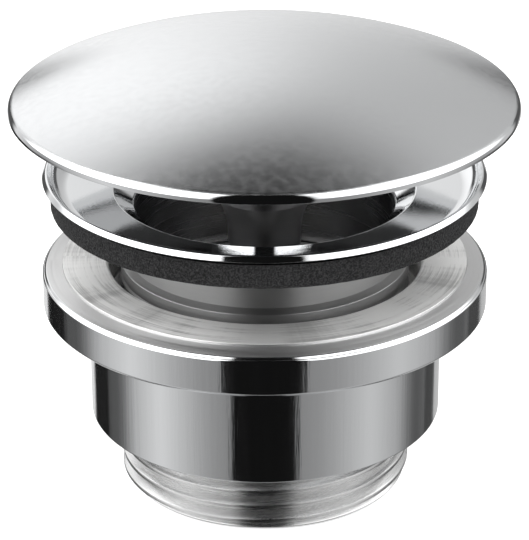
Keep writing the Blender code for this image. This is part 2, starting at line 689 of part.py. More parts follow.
def make_spindle_clip():
    """Open snap ring in the spindle's groove."""
    inner = SPINDLE_NECK_RADIUS - CLIP_GROOVE + SEAT_GAP
    outer = SPINDLE_NECK_RADIUS + CLIP_REACH
    corners = [
        (inner, CLIP_TOP - CLIP_THICKNESS),
        (outer, CLIP_TOP - CLIP_THICKNESS),
        (outer, CLIP_TOP),
        (inner, CLIP_TOP),
    ]
    clip = turned("spindle_clip", corners, SMALL_FACETS, steel)
    bm = bmesh.new()
    size = Matrix.Diagonal((2.0 * outer, inner, 4.0 * CLIP_THICKNESS, 1.0))
    place = Matrix.Translation((outer, 0.0, CLIP_TOP))
    bmesh.ops.create_cube(bm, size=1.0, matrix=place @ size)
    mouth = add_object("clip_mouth", bm, steel)
    cut_or_join(clip, mouth, "DIFFERENCE")
    return clip


def dome():
    """Radius and centre height of the cap's spherical crown."""
    lean = math.pi / 2.0 - CAP_RIM_SLOPE
    side = CAP_BOTTOM + CAP_EDGE_ROUND
    edge_r = CAP_RADIUS - CAP_CROWN_ROUND * (1.0 - math.cos(lean))
    edge_z = side + CAP_CROWN_ROUND * math.sin(lean)
    radius = edge_r / math.cos(lean)
    return radius, edge_z - radius * math.sin(lean)


def cap_underside(radius):
    """Height of the cap's inner face."""
    crown, centre = dome()
    return centre + math.sqrt((crown - CAP_WALL) ** 2 - radius ** 2)


def make_cap():
    """Domed shell with a rolled edge and a threaded collar, its outline open at the axis."""
    crown, centre = dome()
    lean = math.pi / 2.0 - CAP_RIM_SLOPE
    side = CAP_BOTTOM + CAP_EDGE_ROUND
    outer = arc(CAP_RADIUS - CAP_CROWN_ROUND, side, CAP_CROWN_ROUND, 0.0, lean, 3)
    outer = outer[:-1] + arc(0.0, centre, crown, lean, math.pi / 2.0, 7)
    edge = arc(CAP_RADIUS - CAP_EDGE_ROUND, side, CAP_EDGE_ROUND, -math.pi / 2.0, 0.0, 2)[:-1]
    bore = SPINDLE_THREAD_RADIUS + THREAD_GAP
    foot = cap_underside(0.0) - COLLAR_DEPTH
    inner_edge = CAP_RADIUS - CAP_WALL - CAP_EDGE_ROUND
    inner_start = math.acos(inner_edge / (crown - CAP_WALL))
    inner_end = math.acos(COLLAR_RADIUS / (crown - CAP_WALL))
    inner = list(reversed(arc(0.0, centre, crown - CAP_WALL, inner_start, inner_end, 4)))
    outline = [
        (0.0, foot + CAP_THREAD_DEPTH),
        (bore, foot + CAP_THREAD_DEPTH),
        (bore, foot),
        (COLLAR_RADIUS, foot),
        *inner,
        (inner_edge, CAP_BOTTOM),
        *edge,
        *outer,
    ]
    return turned("cap", outline, WIDE_FACETS, chrome, closed=False)


def seal_height():
    """Lowest point of the seal's lip, so that it meets the dish when the plug is down."""
    return floor_height(SEAL_LIP_RADIUS) + PLUG_STROKE + SEAT_GAP


def make_plug_stem():
    """Trumpet stem: waist, swell, straight neck and flare, with the disc that carries the seal."""
    disc_bottom = seal_height() + SEAL_THICKNESS + SEAT_GAP
    disc_top = disc_bottom + STEM_DISC_THICKNESS
    bore = SPINDLE_RADIUS + SEAT_GAP
    collar_foot = cap_underside(0.0) - COLLAR_DEPTH - SEAT_GAP
    reach = math.acos(1.0 - STEM_SWELL / STEM_SWELL_RADIUS)
    swell = arc(STEM_WAIST_RADIUS + STEM_SWELL_RADIUS, STEM_FOOT + STEM_WAIST_HEIGHT,
                STEM_SWELL_RADIUS, math.pi, math.pi - reach, 4)
    flare = []
    steps = 6
    for step in range(steps + 1):
        turn = math.pi / 2.0 * step / steps
        spread = (STEM_FLARE_RADIUS - STEM_NECK_RADIUS) * (1.0 - math.cos(turn))
        flare.append((STEM_NECK_RADIUS + spread, disc_bottom - STEM_FLARE_HEIGHT * (1.0 - math.sin(turn))))
    outline = [
        (bore, STEM_FOOT),
        (STEM_WAIST_RADIUS - EDGE_ROUND, STEM_FOOT),
        (STEM_WAIST_RADIUS, STEM_FOOT + EDGE_ROUND),
        *swell,
        *flare,
        (STEM_DISC_RADIUS, disc_bottom),
        (STEM_DISC_RADIUS, disc_top),
        (COLLAR_RADIUS, disc_top),
        (COLLAR_RADIUS, collar_foot),
        (bore, collar_foot),
    ]
    return turned("plug_stem", outline, MIDDLE_FACETS, chrome)


def make_plug_seal():
    """Rubber ring under the stem's disc with a lip that leans out and down."""
    low = seal_height()
    corners = [
        (SEAL_SPIGOT_RADIUS, low + SEAL_THICKNESS / 2.0),
        (SEAL_LIP_RADIUS, low),
        (SEAL_LIP_RADIUS, low + SEAL_THICKNESS),
        (SEAL_SPIGOT_RADIUS, low + SEAL_THICKNESS),
    ]
    return turned("plug_seal", corners, MIDDLE_FACETS, rubber)


def build():
    for old in list(bpy.data.objects):
        bpy.data.objects.remove(old, do_unlink=True)
    make_lower_body()
    make_flange()
    make_foam_seal()
    make_bridge()
    make_cartridge_housing()
    make_follower_pins()
    make_cartridge_end_cap()
    make_cartridge_washer()
    make_cartridge_nut()
    make_spindle_o_ring()
    make_cam_sleeve()
    make_thrust_washer()
    make_spring()
    make_spindle()
    make_spindle_clip()
    make_plug_stem()
    make_plug_seal()
    make_cap()


build()
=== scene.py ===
import math
import bmesh
import bpy
from mathutils import Matrix, Quaternion, Vector, noise


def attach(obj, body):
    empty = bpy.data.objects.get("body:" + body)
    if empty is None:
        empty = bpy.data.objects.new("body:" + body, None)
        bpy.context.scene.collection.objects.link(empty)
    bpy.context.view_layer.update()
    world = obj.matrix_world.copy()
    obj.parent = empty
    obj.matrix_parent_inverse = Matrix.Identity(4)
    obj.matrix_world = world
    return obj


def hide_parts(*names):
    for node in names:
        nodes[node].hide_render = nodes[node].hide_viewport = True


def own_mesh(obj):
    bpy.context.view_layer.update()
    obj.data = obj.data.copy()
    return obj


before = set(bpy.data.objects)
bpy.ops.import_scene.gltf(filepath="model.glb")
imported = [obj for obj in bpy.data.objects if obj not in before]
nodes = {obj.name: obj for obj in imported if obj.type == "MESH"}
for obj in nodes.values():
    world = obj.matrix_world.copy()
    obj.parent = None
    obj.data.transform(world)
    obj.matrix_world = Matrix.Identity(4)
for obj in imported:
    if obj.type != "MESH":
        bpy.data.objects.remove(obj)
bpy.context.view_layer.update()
mm = 0.001
fineSteps = 256                       # facets round the pieces that show
threadPitch = 2.309 * mm              # G 1 1/4
print("frame loaded", len(nodes), "nodes")


# Node helpers

def addNode(tree, kind, **values):
    made = tree.nodes.new(kind)
    for key, value in values.items():
        setattr(made, key, value)
    return made


def feed(tree, socket, value):
    if isinstance(value, bpy.types.NodeSocket):
        tree.links.new(value, socket)
    elif value is not None:
        socket.default_value = value


def maths(tree, operation, first, second=None, third=None):
    made = addNode(tree, "ShaderNodeMath", operation=operation)
    for socket, value in zip(made.inputs, (first, second, third)):
        feed(tree, socket, value)
    return made.outputs[0]


def between(tree, value, low, high, toLow=0.0, toHigh=1.0):
    # eases a value from toLow to toHigh while it goes from low to high
    made = addNode(tree, "ShaderNodeMapRange", interpolation_type="SMOOTHSTEP")
    ends = {"Value": value, "From Min": low, "From Max": high, "To Min": toLow, "To Max": toHigh}
    for key, entry in ends.items():
        feed(tree, made.inputs[key], entry)
    return made.outputs["Result"]


def noiseOf(tree, vector, scale, detail=3.0, roughness=0.5):
    made = addNode(tree, "ShaderNodeTexNoise")
    feed(tree, made.inputs["Vector"], vector)
    made.inputs["Scale"].default_value = scale
    made.inputs["Detail"].default_value = detail
    made.inputs["Roughness"].default_value = roughness
    return made.outputs["Fac"]


def vectorOf(tree, x, y, z):
    made = addNode(tree, "ShaderNodeCombineXYZ")
    for socket, value in zip(made.inputs, (x, y, z)):
        feed(tree, socket, value)
    return made.outputs[0]


def lathePlace(tree):
    # a point of a turned piece: its coordinates, radius in mm, angle in radians and height in mm
    spot = addNode(tree, "ShaderNodeTexCoord").outputs["Object"]
    parts = addNode(tree, "ShaderNodeSeparateXYZ")
    feed(tree, parts.inputs[0], spot)
    x, y, z = parts.outputs
    square = maths(tree, "ADD", maths(tree, "MULTIPLY", x, x), maths(tree, "MULTIPLY", y, y))
    radius = maths(tree, "MULTIPLY", maths(tree, "SQRT", square), 1000.0)
    height = maths(tree, "MULTIPLY", z, 1000.0)
    return spot, radius, maths(tree, "ARCTAN2", y, x), height


def bumpOf(tree, shader, height, distance, strength=1.0):
    made = addNode(tree, "ShaderNodeBump")
    made.inputs["Strength"].default_value = strength
    made.inputs["Distance"].default_value = distance
    feed(tree, made.inputs["Height"], height)
    feed(tree, shader.inputs["Normal"], made.outputs[0])


def newMaterial(name, colour, metallic, roughness):
    made = bpy.data.materials.new(name)
    made.use_nodes = True
    shader = made.node_tree.nodes["Principled BSDF"]
    shader.inputs["Base Color"].default_value = (*colour, 1.0)
    shader.inputs["Metallic"].default_value = metallic
    shader.inputs["Roughness"].default_value = roughness
    return made, made.node_tree, shader


def toneRamp(tree, value, stops):
    # colours that follow a pattern, each stop a position and a colour
    tone = addNode(tree, "ShaderNodeValToRGB")
    for element, (position, colour) in zip(tone.color_ramp.elements, stops):
        element.position = position
        element.color = (*colour, 1.0)
    feed(tree, tone.inputs[0], value)
    return tone.outputs[0]


# Finishes

finishes = {
    "chromeColour": (0.80, 0.81, 0.82),
    "polishRoughness": (0.03, 0.06),
    "brushedRoughness": (0.09, 0.15),
    "satinRoughness": (0.20, 0.27),
    "landColour": (0.9, 0.9, 0.9),
    "landTones": ((0.76, (0.58, 0.58, 0.5742)), (1.0, (1.0, 1.0, 0.99))),
    "landRoughness": (0.36, 0.52),
    "landMetal": 0.65,
    "foamColour": (0.020, 0.020, 0.022),
    "foamTones": ((0.40, (0.002, 0.002, 0.0025)), (0.66, (0.030, 0.030, 0.031))),
    "foamGrain": 4200.0,
    "foamCells": 3200.0,
}


def smearAcross(tree, shader, amount):
    # fine lathe lines run round the axis, so reflections smear across them
    shader.inputs["Anisotropic"].default_value = amount
    shader.inputs["Anisotropic Rotation"].default_value = 0.25
    tangent = addNode(tree, "ShaderNodeTangent", direction_type="RADIAL", axis="Z")
    feed(tree, shader.inputs["Tangent"], tangent.outputs[0])


def brushedChrome():
    made, tree, shader = newMaterial("brushedChrome", finishes["chromeColour"], 1.0, 0.10)
    radius, angle, height = lathePlace(tree)[1:]
    smearAcross(tree, shader, 0.85)
    around = maths(tree, "MULTIPLY", angle, 26.0)         # many fine streaks round the wall
    along = maths(tree, "MULTIPLY", height, 0.03)         # each as tall as the wall
    streaks = noiseOf(tree, vectorOf(tree, around, along, radius), 1.6, 4.0, 0.6)
    low, high = finishes["brushedRoughness"]
    feed(tree, shader.inputs["Roughness"], between(tree, streaks, 0.3, 0.7, low, high))
    bumpOf(tree, shader, streaks, 0.000012)
    return made


def polishedChrome():
    made, tree, shader = newMaterial("polishedChrome", finishes["chromeColour"], 1.0, 0.04)
    spot, radius, angle, height = lathePlace(tree)
    low, high = finishes["polishRoughness"]
    haze = noiseOf(tree, spot, 160.0, 4.0)                # wiped patches a few mm wide
    feed(tree, shader.inputs["Roughness"], between(tree, haze, 0.35, 0.7, low, high))
    around = maths(tree, "MULTIPLY", angle, 0.8)
    lines = noiseOf(tree, vectorOf(tree, radius, around, height), 2.6, 5.0, 0.7)
    bumpOf(tree, shader, lines, 0.000004)
    return made


def satinChrome():
    made, tree, shader = newMaterial("satinChrome", finishes["chromeColour"], 1.0, 0.24)
    spot = lathePlace(tree)[0]
    low, high = finishes["satinRoughness"]
    grain = noiseOf(tree, spot, 900.0, 5.0, 0.6)          # satin grain of about a millimetre
    feed(tree, shader.inputs["Roughness"], between(tree, grain, 0.3, 0.7, low, high))
    bumpOf(tree, shader, grain, 0.000003)
    return made


def turnedChrome(name, colour, roughness, grooves, depth):
    # fine lathe lines run round the axis
    made, tree, shader = newMaterial(name, colour, 1.0, roughness[0])
    radius, angle, height = lathePlace(tree)[1:]
    smearAcross(tree, shader, 0.8)
    across = maths(tree, "ADD", radius, height)
    around = maths(tree, "MULTIPLY", angle, 0.3)
    lines = noiseOf(tree, vectorOf(tree, across, around, 0.0), grooves, 6.0, 0.75)
    feed(tree, shader.inputs["Roughness"], between(tree, lines, 0.3, 0.7, roughness[0], roughness[1]))
    bumpOf(tree, shader, lines, depth)
    return made


def turnedLand():
    # bare turned metal: bright and dull rings with slow streaks across them
    made, tree, shader = newMaterial("turnedFace", finishes["landColour"], finishes["landMetal"], 0.42)
    radius, angle, height = lathePlace(tree)[1:]
    smearAcross(tree, shader, 0.85)
    across = maths(tree, "ADD", radius, height)
    around = maths(tree, "MULTIPLY", angle, 0.6)
    rings = noiseOf(tree, vectorOf(tree, across, around, 0.0), 2.2, 6.0, 0.7)
    sideways = maths(tree, "COSINE", angle)
    lengthways = maths(tree, "SINE", angle)
    streaks = noiseOf(tree, vectorOf(tree, sideways, lengthways, 0.0), 3.4, 4.0, 0.6)
    worn = maths(tree, "ADD", rings, maths(tree, "MULTIPLY", streaks, 0.9))
    feed(tree, shader.inputs["Base Color"], toneRamp(tree, worn, finishes["landTones"]))
    low, high = finishes["landRoughness"]
    feed(tree, shader.inputs["Roughness"], between(tree, rings, 0.3, 0.7, low, high))
    bumpOf(tree, shader, rings, 0.00004)
    return made


def foamFinish():
    made, tree, shader = newMaterial("closedFoam", finishes["foamColour"], 0.0, 0.92)
    spot = lathePlace(tree)[0]
    cells = addNode(tree, "ShaderNodeTexVoronoi", feature="F1")
    feed(tree, cells.inputs["Vector"], spot)
    cells.inputs["Scale"].default_value = finishes["foamCells"]
    grain = noiseOf(tree, spot, finishes["foamGrain"], 2.0, 0.5)
    feed(tree, shader.inputs["Base Color"], toneRamp(tree, grain, finishes["foamTones"]))
    relief = maths(tree, "ADD", grain, maths(tree, "MULTIPLY", cells.outputs["Distance"], 0.8))
    bumpOf(tree, shader, relief, 0.00012)
    return made


def mouldedFinish(name, colour, roughness, grainScale, depth):
    # rubber, acetal and fibre: an even colour with a fine mottled skin
    made, tree, shader = newMaterial(name, colour, 0.0, roughness)
    spot = lathePlace(tree)[0]
    grain = noiseOf(tree, spot, grainScale, 4.0, 0.6)
    darker = [c * 0.82 for c in colour]
    lighter = [min(1.0, c * 1.12) for c in colour]
    feed(tree, shader.inputs["Base Color"], toneRamp(tree, grain, ((0.3, darker), (0.7, lighter))))
    worn = between(tree, grain, 0.3, 0.7, roughness - 0.05, roughness + 0.08)
    feed(tree, shader.inputs["Roughness"], worn)
    bumpOf(tree, shader, grain, depth)
    return made


chrome = polishedChrome()
brushed = brushedChrome()
satin = satinChrome()
turnedFace = turnedLand()
# a darker copy of the chrome for the barrel and its thread: painted shade
paintedShadeBarrel = turnedChrome("paintedShadeBarrel", (0.42, 0.42, 0.42), (0.34, 0.50), 2.4, 0.00003)
ringBand = turnedChrome("ringBand", (0.70, 0.70, 0.70), (0.34, 0.50), 2.4, 0.00003)
# a darker copy of the chrome for the bore and throat: painted shade
paintedShadeBore = turnedChrome("paintedShadeBore", (0.40, 0.40, 0.41), (0.18, 0.30), 2.2, 0.00001)
threadChrome = turnedChrome("threadChrome", (0.84, 0.84, 0.84), (0.20, 0.32), 3.0, 0.00001)
# a darker copy of the chrome for the stem's foot: painted shade
paintedShadeStem = turnedChrome("paintedShadeStem", (0.42, 0.42, 0.43), (0.30, 0.42), 2.6, 0.00001)
nickel = turnedChrome("nickelPlate", (0.45, 0.45, 0.44), (0.22, 0.34), 2.0, 0.000008)
brass = turnedChrome("platedBrass", (0.46, 0.44, 0.40), (0.20, 0.32), 3.0, 0.00001)
steel = turnedChrome("stainlessSteel", (0.56, 0.57, 0.58), (0.18, 0.30), 3.0, 0.000008)
foamSkin = foamFinish()
rubber = mouldedFinish("blackRubber", (0.022, 0.022, 0.024), 0.55, 700.0, 0.00002)
fibre = mouldedFinish("fibreWasher", (0.26, 0.09, 0.05), 0.65, 900.0, 0.00003)
acetal = mouldedFinish("whiteAcetal", (0.72, 0.71, 0.66), 0.38, 400.0, 0.000008)
print("finishes made", len(bpy.data.materials))


# Mesh helpers: profiles are corners of (radius, height) or (radius, height, round) in mm

def drawProfile(bm, corners, closed=True):
    verts = [bm.verts.new((c[0] * mm, 0.0, c[1] * mm)) for c in corners]
    pairs = list(zip(verts, verts[1:]))
    if closed:
        pairs.append((verts[-1], verts[0]))
    for pair in pairs:
        bm.edges.new(pair)
    for vert, corner in zip(verts, corners):
        if len(corner) > 2:
            bmesh.ops.bevel(bm, geom=[vert], offset=corner[2] * mm, offset_type="OFFSET", segments=5,
                            profile=0.5, affect="VERTICES", material=-1)


def arcCorners(radius, centreZ, start, end, count, centreR=0.0):
    # points along an arc, angles in degrees from the outward direction
    points = []
    for step in range(count + 1):
        angle = math.radians(start + (end - start) * step / count)
        points.append((centreR + radius * math.cos(angle), centreZ + radius * math.sin(angle)))
    return points


def toObject(name, bm, materials):
    mesh = bpy.data.meshes.new(name)
    bm.to_mesh(mesh)
    bm.free()
    mesh.shade_smooth()
    mesh.set_sharp_from_angle(angle=math.radians(32.0))
    for entry in materials:
        mesh.materials.append(entry)
    made = bpy.data.objects.new(name, mesh)
    bpy.context.scene.collection.objects.link(made)
    return made


def evenShading(piece):
    # flat faces keep flat reflections beside their rounded edges
    weighted = piece.modifiers.new("evenShading", "WEIGHTED_NORMAL")
    weighted.keep_sharp = True
    weighted.weight = 90


def turnedPiece(name, corners, materials, pick=None, closed=True, steps=fineSteps):
    bm = bmesh.new()
    drawProfile(bm, corners, closed)
    bmesh.ops.spin(bm, geom=bm.verts[:] + bm.edges[:], cent=(0, 0, 0), axis=(0, 0, 1), dvec=(0, 0, 0),
                   angle=math.tau, steps=steps, use_merge=True, use_duplicate=False)
    bmesh.ops.remove_doubles(bm, verts=bm.verts, dist=1e-7)
    bmesh.ops.dissolve_degenerate(bm, edges=bm.edges, dist=1e-7)
    bmesh.ops.recalc_face_normals(bm, faces=bm.faces)
    if pick:
        for face in bm.faces:
            middle = face.calc_center_median()
            face.material_index = pick(math.hypot(middle.x, middle.y) / mm, middle.z / mm, face.normal)
    made = toObject(name, bm, materials)
    evenShading(made)
    return made


def threadRidge(name, section, bottom, turns, limit, cutHeight, material):
    # one ridge swept up a right-hand helix from behind, held under limit(height), its foot cut flat
    perTurn = 160
    steps = round(turns * perTurn)
    bm = bmesh.new()
    verts = [bm.verts.new((r * mm, 0.0, (bottom + z) * mm)) for r, z in section]
    edges = [bm.edges.new((a, b)) for a, b in zip(verts, verts[1:] + verts[:1])]
    bm.faces.new(verts)
    bmesh.ops.spin(bm, geom=verts + edges, cent=(0, 0, 0), axis=(0, 0, 1), dvec=(0, 0, threadPitch / perTurn),
                   angle=math.tau * turns, steps=steps, use_merge=False, use_duplicate=False)
    bmesh.ops.holes_fill(bm, edges=[e for e in bm.edges if e.is_boundary], sides=0)
    quarter = Matrix.Rotation(math.radians(90.0), 3, "Z")
    bmesh.ops.rotate(bm, verts=bm.verts, cent=(0, 0, 0), matrix=quarter)
    for vert in bm.verts:
        reach = math.hypot(vert.co.x, vert.co.y)
        most = limit(vert.co.z / mm) * mm
        if reach > most:
            vert.co.x *= most / reach
            vert.co.y *= most / reach
    bmesh.ops.bisect_plane(bm, geom=bm.verts[:] + bm.edges[:] + bm.faces[:], dist=1e-7,
                           plane_co=(0, 0, cutHeight * mm), plane_no=(0, 0, -1), clear_outer=True)
    bmesh.ops.holes_fill(bm, edges=[e for e in bm.edges if e.is_boundary], sides=0)
    bmesh.ops.remove_doubles(bm, verts=bm.verts, dist=1e-7)
    bmesh.ops.recalc_face_normals(bm, faces=bm.faces)
    return toObject(name, bm, [material])


def place(piece, body, slot, *replaced):
    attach(piece, body)
    if replaced:
        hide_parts(*replaced)


# Lower body with clamping ring and threaded tail

lowerBodyShape = {
    "rootRadius": 19.5,
    "crestRadius": 20.95,
    "threadEnd": 20.05,               # crest radius at the tail's end
    "threadTop": 8.65,
    "threadStart": -1.85,
    "threadTurns": 4.7,
    "runOut": 2.2,                    # mm of crest lost for each mm of height
    "boreRadius": 17.6,
    "shelf": 12.45,                   # top of the bore's ledge
    "innerRadius": 20.95,
    "mouthRadius": 22.4,
    "bodyRadius": 25.3,
    "bodyBottom": 10.15,
    "ringRadius": 31.75,
    "ringBottom": 26.75,
    "ringChamfer": 32.5,
    "landTop": 33.35,
    "landOuter": 28.85,
    "landInner": 22.7,
}


def lowerBodyFinish(radius, height, normal):
    # which of the piece's materials a face takes
    top = height > 32.3
    inside = radius < 22.9 and height > 12.0
    if top and 28.9 < radius < 31.2:
        return 5
    if top and radius < 28.9 or inside:
        return 1
    # the bore takes the darker chrome copy, painted shade
    if radius < 17.7:
        return 2
    if radius < 20.6:
        return 4
    return 3 if abs(normal.z) < 0.3 and radius > 25.0 else 0


def lowerBodyCorners():
    # from the bore's foot up the outside, over the ring and down the inside
    shape = lowerBodyShape
    root, bore, shelf = shape["rootRadius"], shape["boreRadius"], shape["shelf"]
    inner, mouth, threadEnd = shape["innerRadius"], shape["mouthRadius"], shape["threadEnd"]
    body, bottom = shape["bodyRadius"], shape["bodyBottom"]
    ring, under = shape["ringRadius"], shape["ringBottom"]
    land, chamfer = shape["landTop"], shape["ringChamfer"]
    tail = [(bore, 0.0, 0.3), (threadEnd, 0.0, 0.05), (20.45, 0.42, 0.1), (root, 1.2), (root, bottom)]
    outside = [(body, bottom, 0.3), (body, under), (31.3, under), (ring, 27.2, 0.12), (ring, 32.0, 0.1)]
    edge = [(31.58, 32.2, 0.06), (31.5, 32.22), (31.25, chamfer, 0.1), (28.95, 33.0)]
    top = [(shape["landOuter"], land, 0.08), (shape["landInner"], land, 0.1)]
    inside = [(mouth, 33.05), (mouth, 27.55), (inner, 26.1), (inner, shelf), (bore, shelf)]
    return tail + outside + edge + top + inside


def tailLimit(z):
    # chamfered at the tail's end, full crests, then a run-out under the body
    start = lowerBodyShape["threadEnd"] + max(z, 0.0)
    left = max(0.0, lowerBodyShape["runOut"] * (lowerBodyShape["threadTop"] - z))
    return min(lowerBodyShape["crestRadius"], start, lowerBodyShape["rootRadius"] - 0.1 + left)


lowerBody = turnedPiece("lowerBody", lowerBodyCorners(),
                        [chrome, turnedFace, paintedShadeBore, brushed, threadChrome, ringBand], lowerBodyFinish)
place(lowerBody, "lower_body", "chrome", "lower_body")

root = lowerBodyShape["rootRadius"]
tailRidge = [
    (root - 0.15, -1.1), (root + 0.02, -1.02), (20.7, -0.42), (20.9, -0.27), (20.95, -0.1), (20.95, 0.1),
    (20.9, 0.27), (20.7, 0.42), (root + 0.02, 1.02), (root - 0.15, 1.1)]
tailThread = threadRidge("tailThread", tailRidge, lowerBodyShape["threadStart"],
                         lowerBodyShape["threadTurns"], tailLimit, 0.0, threadChrome)
place(tailThread, "lower_body", "chrome")
print("lower body done")


# Flange: rim, dish, throat and threaded barrel

flangeShape = {
    "boreRadius": 17.0,
    "throatRadius": 18.3,
    "barrelBottom": 21.05,
    "barrelLedge": 23.05,             # carries the bridge
    "barrelRoot": 19.6,
    "crestRadius": 20.6,
    "threadTurns": 4.9,
    "threadGrowsFrom": 20.6,
    "threadCut": 21.1,
    "neckRadius": 19.5,
    "rimRadius": 31.346,
    "rimBottom": 46.35,
    "rimInner": (30.6, 47.15),
    "bevelSlope": 60.0,
    "lip": (21.4, 44.245),
    "floorSlope": 4.8,
    "floorEnd": 27.8,
    "wallStart": 30.2,
    "wallSlope": 62.0,
}


def flangeFinish(radius, height, normal):
    # painted shade in the throat and on the turned barrel, polished dish and rim
    if radius < 18.6 and height < 42.5:
        return 2
    if radius < 21.3 and height < 41.0:
        return 1
    return 0


barrelRoot = flangeShape["barrelRoot"]


def flangeCorners():
    # a shallow floor round the throat, an arc up to the steep wall, and a bright bevel down the outside
    outer, bottom = flangeShape["rimRadius"], flangeShape["rimBottom"]
    innerR, top = flangeShape["rimInner"]
    bevelR = outer - (top - bottom) / math.tan(math.radians(flangeShape["bevelSlope"]))
    lipR, lipZ = flangeShape["lip"]
    low, high = math.radians(flangeShape["floorSlope"]), math.radians(flangeShape["wallSlope"])
    startR, endR = flangeShape["floorEnd"], flangeShape["wallStart"]
    startZ = lipZ + (startR - lipR) * math.tan(low)
    arc = (endR - startR) / (math.sin(high) - math.sin(low))
    rise = []
    count = 16
    for step in range(count + 1):
        slope = low + (high - low) * step / count
        outward = arc * (math.sin(slope) - math.sin(low))
        upward = arc * (math.cos(low) - math.cos(slope))
        rise.append((startR + outward, startZ + upward))
    shape = flangeShape
    bore, throat, ledge = shape["boreRadius"], shape["throatRadius"], shape["barrelLedge"]
    neck, crest, foot = shape["neckRadius"], shape["crestRadius"], shape["barrelBottom"]
    barrel = [(bore, foot, 0.2), (barrelRoot, foot), (barrelRoot, 31.6)]
    barrel += [(crest, 31.9, 0.1), (crest, 33.65, 0.1)]
    under = [(neck, 34.2), (neck, 42.26, 1.0), (26.2, 43.2, 1.0), (outer, bottom, 0.06)]
    rim = [(bevelR, top, 0.2), (innerR, top, 0.03)]
    inside = [(lipR, lipZ, 0.12), (throat, 41.915, 0.5), (throat, ledge), (bore, ledge, 0.15)]
    return barrel + under + rim + rise[::-1] + inside


def barrelLimit(z):
    # the thread starts small at the barrel's foot
    return min(flangeShape["crestRadius"], barrelRoot + max(0.0, z - flangeShape["threadGrowsFrom"]))


flange = turnedPiece("flangeDish", flangeCorners(), [chrome, paintedShadeBarrel, paintedShadeBore], flangeFinish)
place(flange, "flange", "chrome", "flange")

barrelRidge = [
    (barrelRoot - 0.15, -1.05), (barrelRoot + 0.02, -0.95), (20.5, -0.35), (20.6, -0.2), (20.6, 0.2),
    (20.5, 0.35), (barrelRoot + 0.02, 0.95), (barrelRoot - 0.15, 1.05)]
# the barrel's thread takes the same painted shade
barrelThread = threadRidge("barrelThread", barrelRidge, flangeShape["barrelBottom"],
                           flangeShape["threadTurns"], barrelLimit, flangeShape["threadCut"], paintedShadeBarrel)
place(barrelThread, "flange", "chrome")
print("flange done")


# Foam ring

foamShape = {
    "profile": [(21.0, 39.97, 0.3), (30.3, 42.05, 0.45), (30.3, 45.62, 0.1), (26.2, 43.12, 0.6),
                (21.0, 42.38, 0.2)],
    "facet": 0.3,                     # mm between points of the profile
    "steps": 640,
    "roughness": 0.07,                # depth of the open cells
    "cell": 900.0,                    # cells in a metre
    "fill": 0.9,
}


def makeFoam():
    bm = bmesh.new()
    drawProfile(bm, foamShape["profile"])
    facet = foamShape["facet"] * mm
    longEdges = [e for e in bm.edges if e.calc_length() > 2.0 * facet]
    for edge in longEdges:
        cuts = max(1, round(edge.calc_length() / facet))
        bmesh.ops.subdivide_edges(bm, edges=[edge], cuts=cuts)
    bmesh.ops.spin(bm, geom=bm.verts[:] + bm.edges[:], cent=(0, 0, 0), axis=(0, 0, 1), dvec=(0, 0, 0),
                   angle=math.tau, steps=foamShape["steps"], use_merge=True, use_duplicate=False)
    bmesh.ops.remove_doubles(bm, verts=bm.verts, dist=1e-7)
    bmesh.ops.recalc_face_normals(bm, faces=bm.faces)
    bm.normal_update()
    cell = foamShape["cell"]
    for vert in bm.verts:
        lumps = noise.noise(vert.co * cell) + 0.5 * noise.noise(vert.co * cell * 2.3)
        vert.co -= vert.normal * (0.5 + 0.5 * lumps) * foamShape["roughness"] * mm
    return toObject("foamRing", bm, [foamSkin])


foamRing = makeFoam()
place(foamRing, "seal", "foam", "foam_seal")
print("foam done", len(foamRing.data.polygons))


# Plug: cap, stem and seal

capShape = {
    "radius": 35.745,
    "bottom": 56.50,
    "crown": 85.26,
    "crownCentre": -19.876,
    "wall": 1.4,
    "crownRound": 1.4,
    "edgeInset": 0.45,
    "threadRoof": 64.79,
    "collarRadius": 7.0,
    "collarFoot": 58.79,
    "boreRadius": 3.35,
}


def capCorners():
    # the rolled edge meets the crown's sphere from inside, and its lower corner is nearly sharp
    rolled = capShape["crownRound"]
    rolledR = capShape["radius"] - rolled
    toRolled = capShape["crown"] - rolled
    rolledZ = capShape["crownCentre"] + math.sqrt(toRolled ** 2 - rolledR ** 2)
    lean = math.degrees(math.acos(rolledR / toRolled))
    innerCrown = capShape["crown"] - capShape["wall"]
    innerEdge = capShape["radius"] - capShape["wall"] - capShape["edgeInset"]
    foot, collar, roof = capShape["collarFoot"], capShape["collarRadius"], capShape["threadRoof"]
    bore = capShape["boreRadius"]
    innerStart = math.degrees(math.acos(innerEdge / innerCrown))
    innerEnd = math.degrees(math.acos(collar / innerCrown))
    corners = [(0.0, roof), (bore, roof), (bore, foot, 0.2), (collar, foot, 0.3)]
    corners += reversed(arcCorners(innerCrown, capShape["crownCentre"], innerStart, innerEnd, 24))
    corners += [(innerEdge, capShape["bottom"], 0.1), (capShape["radius"], capShape["bottom"], 0.06)]
    corners += arcCorners(rolled, rolledZ, 0.0, lean, 14, rolledR)[:-1]
    corners += arcCorners(capShape["crown"], capShape["crownCentre"], lean, 90.0, 48)
    return corners


def capFinish(radius, height, normal):
    # satin dome, polished edge and underside
    return 0 if normal.z > 0.74 and height > 57.0 else 1


cap = turnedPiece("domedCap", capCorners(), [satin, chrome], capFinish, closed=False)
place(cap, "plug", "satin_chrome", "cap")

stemShape = {
    "bore": 3.4,
    "foot": 35.55,
    "waist": 5.2,
    "swellBottom": 37.5,
    "swellRadius": 9.6,
    "neck": 7.1,
    "polishFrom": 45.5,
    "neckTop": 50.18,
    "flareRadius": 16.9,
    "flareTop": 55.78,
    "discRadius": 19.8,
    "discTop": 57.58,
    "collarRadius": 7.0,
    "collarTop": 58.49,
}


